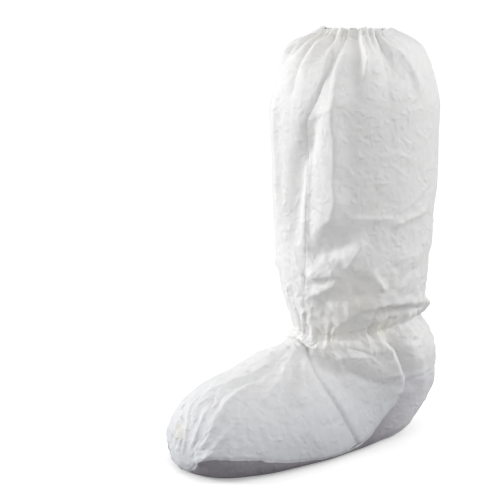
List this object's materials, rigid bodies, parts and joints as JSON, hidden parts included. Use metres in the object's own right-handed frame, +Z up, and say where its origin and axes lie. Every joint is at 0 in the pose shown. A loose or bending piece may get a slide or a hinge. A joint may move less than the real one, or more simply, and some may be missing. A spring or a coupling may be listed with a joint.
{
  "type": "boot cover",
  "caption": "Tall disposable boot cover of white nonwoven fabric, gathered by elastic at the rim and the ankle, with a seamed foot and a separate sole, standing upright",
  "frame": {"origin": "On the floor, under the middle of the bounding box", "axes": "+Z up along the leg, toe towards -Y, +X to the side that the picture shows"},
  "size_m": [0.1728, 0.332, 0.4552],
  "materials": {
    "fabric": "matte white nonwoven, finely embossed",
    "sole": "matte coated nonwoven",
    "seam": "doubled nonwoven with stitching",
    "elastic": "covered elastic, slightly yellow"
  },
  "bodies": {
    "root": {"leg_panel": "fabric", "heel_panel": "fabric", "vamp_panel": "fabric", "sole_panel": "sole", "top_casing": "fabric", "top_elastic": "elastic", "ankle_elastic": "elastic", "front_seam": "seam", "slant_seam": "seam", "sole_seam": "seam"}
  },
  "joints": []
}
